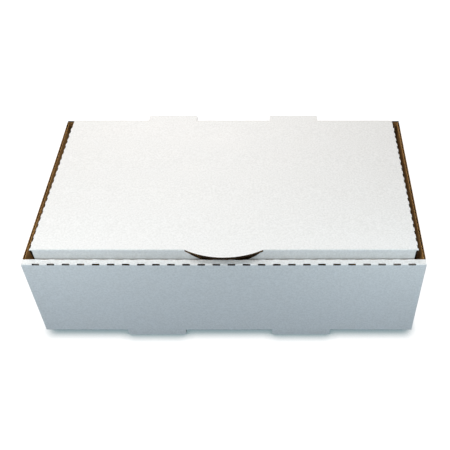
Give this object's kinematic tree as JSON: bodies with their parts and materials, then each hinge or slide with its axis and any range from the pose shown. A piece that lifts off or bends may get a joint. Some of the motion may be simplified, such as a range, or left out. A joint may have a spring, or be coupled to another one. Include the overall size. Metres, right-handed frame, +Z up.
{
  "type": "catering box",
  "caption": "White corrugated catering box with a rolled-over front wall, a hinged lid with a half-moon thumb tab, and slot tabs under the front edge.",
  "frame": {"origin": "middle of the bounding box at the bottom, on the lower edges of the front slot tabs", "axes": "+X to the right seen from the front, +Y from the front wall to the back wall, +Z up"},
  "size_m": [0.512, 0.3015, 0.1649],
  "materials": {
    "white_board": "matt bleached outer liner",
    "kraft_board": "matt brown inner liner and fluting"
  },
  "bodies": {
    "tray": {"tray": "white_board"},
    "lid": {"lid": "white_board"}
  },
  "joints": [
    {"name": "lid_crease", "type": "hinge", "parent": "tray", "child": "lid", "pos_m": [0, 0.13975, 0.1533], "axis": [-1, 0, 0], "range_deg": [-2, 200]}
  ]
}
